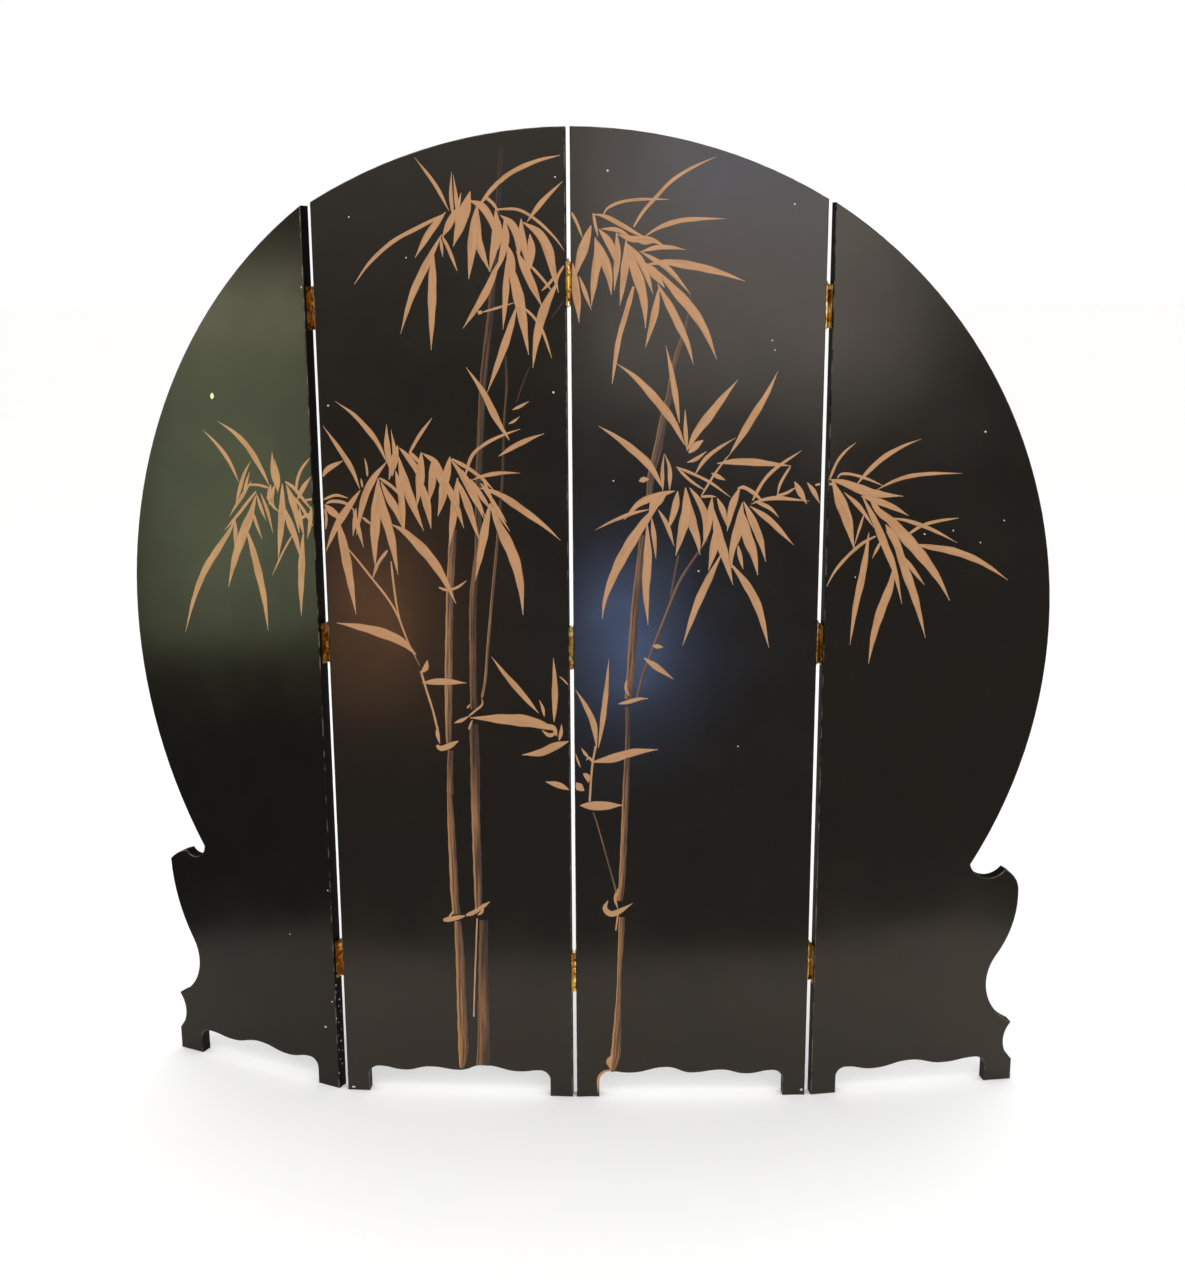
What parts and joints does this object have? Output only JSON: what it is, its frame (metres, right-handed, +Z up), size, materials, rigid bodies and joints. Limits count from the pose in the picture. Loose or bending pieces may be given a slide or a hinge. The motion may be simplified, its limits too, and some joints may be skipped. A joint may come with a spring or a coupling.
{
  "type": "folding screen",
  "caption": "Round black-lacquered folding screen: hinged boards whose outlines make one circle on a low shaped stand, painted with gold bamboo, to divide a room.",
  "frame": {"origin": "on the floor, under the middle of the box that the screen fills as it stands in the picture", "axes": "+X along the screen to the right of someone who faces the painted side, +Y away from the painted side, +Z up"},
  "size_m": [1.762, 0.2454, 1.8288],
  "materials": {
    "black_lacquered_board": "satin black lacquer over a solid board, worn at the edges",
    "brass_hinges": "plain brass, darkened by age",
    "brass_screws": "brass, dull"
  },
  "bodies": {
    "outer_left_panel": {"outer_left_panel": "black_lacquered_board", "left_bottom_hinge_outer_leaf": "brass_hinges", "left_bottom_hinge_outer_screws": "brass_screws", "left_middle_hinge_outer_leaf": "brass_hinges", "left_middle_hinge_outer_screws": "brass_screws", "left_top_hinge_outer_leaf": "brass_hinges", "left_top_hinge_outer_screws": "brass_screws"},
    "inner_left_panel": {"inner_left_panel": "black_lacquered_board", "left_bottom_hinge_inner_leaf": "brass_hinges", "left_bottom_hinge_inner_screws": "brass_screws", "left_bottom_hinge_pin": "brass_hinges", "left_middle_hinge_inner_leaf": "brass_hinges", "left_middle_hinge_inner_screws": "brass_screws", "left_middle_hinge_pin": "brass_hinges", "left_top_hinge_inner_leaf": "brass_hinges", "left_top_hinge_inner_screws": "brass_screws", "left_top_hinge_pin": "brass_hinges", "centre_bottom_hinge_left_leaf": "brass_hinges", "centre_bottom_hinge_left_screws": "brass_screws", "centre_bottom_hinge_pin": "brass_hinges", "centre_middle_hinge_left_leaf": "brass_hinges", "centre_middle_hinge_left_screws": "brass_screws", "centre_middle_hinge_pin": "brass_hinges", "centre_top_hinge_left_leaf": "brass_hinges", "centre_top_hinge_left_screws": "brass_screws", "centre_top_hinge_pin": "brass_hinges"},
    "inner_right_panel": {"inner_right_panel": "black_lacquered_board", "centre_bottom_hinge_right_leaf": "brass_hinges", "centre_bottom_hinge_right_screws": "brass_screws", "centre_middle_hinge_right_leaf": "brass_hinges", "centre_middle_hinge_right_screws": "brass_screws", "centre_top_hinge_right_leaf": "brass_hinges", "centre_top_hinge_right_screws": "brass_screws", "right_bottom_hinge_inner_leaf": "brass_hinges", "right_bottom_hinge_inner_screws": "brass_screws", "right_bottom_hinge_pin": "brass_hinges", "right_middle_hinge_inner_leaf": "brass_hinges", "right_middle_hinge_inner_screws": "brass_screws", "right_middle_hinge_pin": "brass_hinges", "right_top_hinge_inner_leaf": "brass_hinges", "right_top_hinge_inner_screws": "brass_screws", "right_top_hinge_pin": "brass_hinges"},
    "outer_right_panel": {"outer_right_panel": "black_lacquered_board", "right_bottom_hinge_outer_leaf": "brass_hinges", "right_bottom_hinge_outer_screws": "brass_screws", "right_middle_hinge_outer_leaf": "brass_hinges", "right_middle_hinge_outer_screws": "brass_screws", "right_top_hinge_outer_leaf": "brass_hinges", "right_top_hinge_outer_screws": "brass_screws"}
  },
  "joints": [
    {"name": "left_fold", "type": "hinge", "parent": "inner_left_panel", "child": "outer_left_panel", "pos_m": [-0.47029, -0.06303, 0.91204], "axis": [0, 0, -1], "range_deg": [-22.3, 157.7]},
    {"name": "centre_fold", "type": "hinge", "parent": "inner_left_panel", "child": "inner_right_panel", "pos_m": [-0.01523, -0.11767, 0.91204], "axis": [0, 0, -1], "range_deg": [-7.4, 184.6]},
    {"name": "right_fold", "type": "hinge", "parent": "inner_right_panel", "child": "outer_right_panel", "pos_m": [0.44104, -0.07416, 0.91204], "axis": [0, 0, 1], "range_deg": [-8, 172]}
  ]
}
